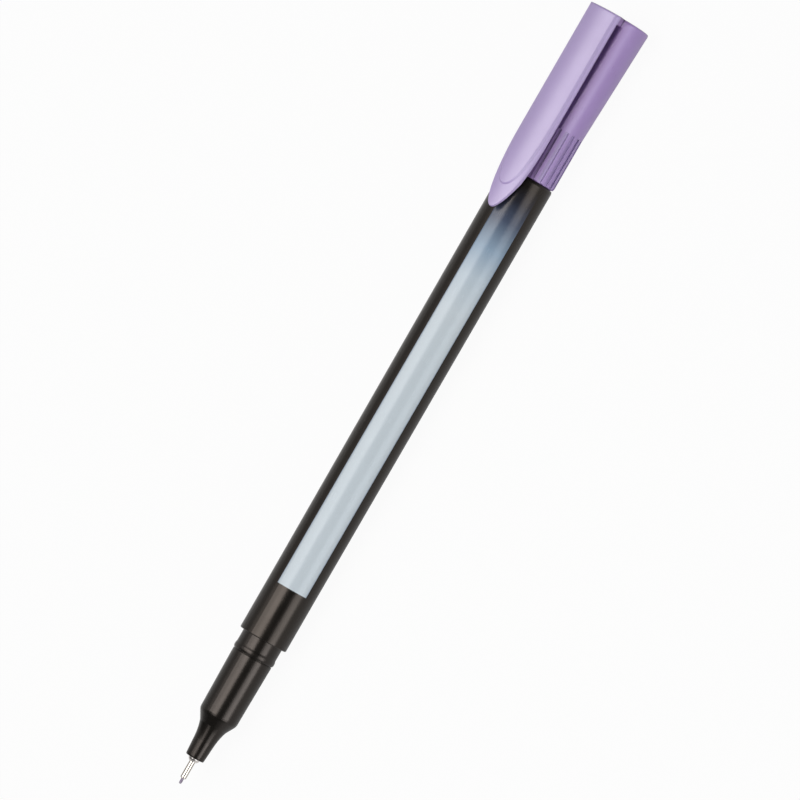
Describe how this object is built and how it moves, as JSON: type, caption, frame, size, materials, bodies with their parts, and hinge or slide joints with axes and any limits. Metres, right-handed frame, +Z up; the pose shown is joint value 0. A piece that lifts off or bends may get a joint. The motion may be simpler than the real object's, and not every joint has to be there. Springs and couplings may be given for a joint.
{
  "type": "fineliner pen",
  "caption": "Slim fineliner with a metal-clad point, a black drafted barrel with a pale panel, and a lavender clip cap posted on its tail.",
  "frame": {"origin": "middle of the pen's box, on the surface that it lies on", "axes": "+X along the pen towards the cap's closed end, with the nib towards -X; +Z up through the clip; +Y across the clip"},
  "size_m": [0.1486, 0.011, 0.0124],
  "materials": {
    "barrel_black": "satin-gloss moulded, with a pale printed panel that fades to black at the rear",
    "plug_black": "satin moulded",
    "section_black": "satin-gloss moulded",
    "tip_metal": "turned nickel",
    "needle_metal": "drawn and polished",
    "nib_purple": "ground fibre, stained by ink",
    "ink_fibre": "bundled fibre, soaked with ink",
    "film_clear": "thin wrapped film",
    "cap_lavender": "satin moulded",
    "liner_white": "waxy natural plastic"
  },
  "bodies": {
    "pen": {"barrel": "barrel_black", "tail_plug": "plug_black", "front_section": "section_black", "tip_collar": "tip_metal", "needle_tube": "needle_metal", "nib": "nib_purple", "ink_reservoir": "ink_fibre", "reservoir_film": "film_clear"},
    "inner_cap": {"inner_cap": "liner_white"},
    "cap": {"cap_shell": "cap_lavender"},
    "clip": {"pocket_clip": "cap_lavender"}
  },
  "joints": [
    {"name": "cap_pull", "type": "slide", "parent": "pen", "child": "inner_cap", "axis": [1, 0, 0], "range_m": [0, 0.045]},
    {"name": "cap_turn", "type": "hinge", "parent": "inner_cap", "child": "cap", "pos_m": [0.06, 0, 0.0055], "axis": [1, 0, 0], "continuous": true},
    {"name": "clip_flex", "type": "hinge", "parent": "cap", "child": "clip", "pos_m": [0.07285, 0, 0.01237], "axis": [0, 1, 0], "range_deg": [0, 3.5], "stiffness_Nm_per_rad": 0.6}
  ]
}
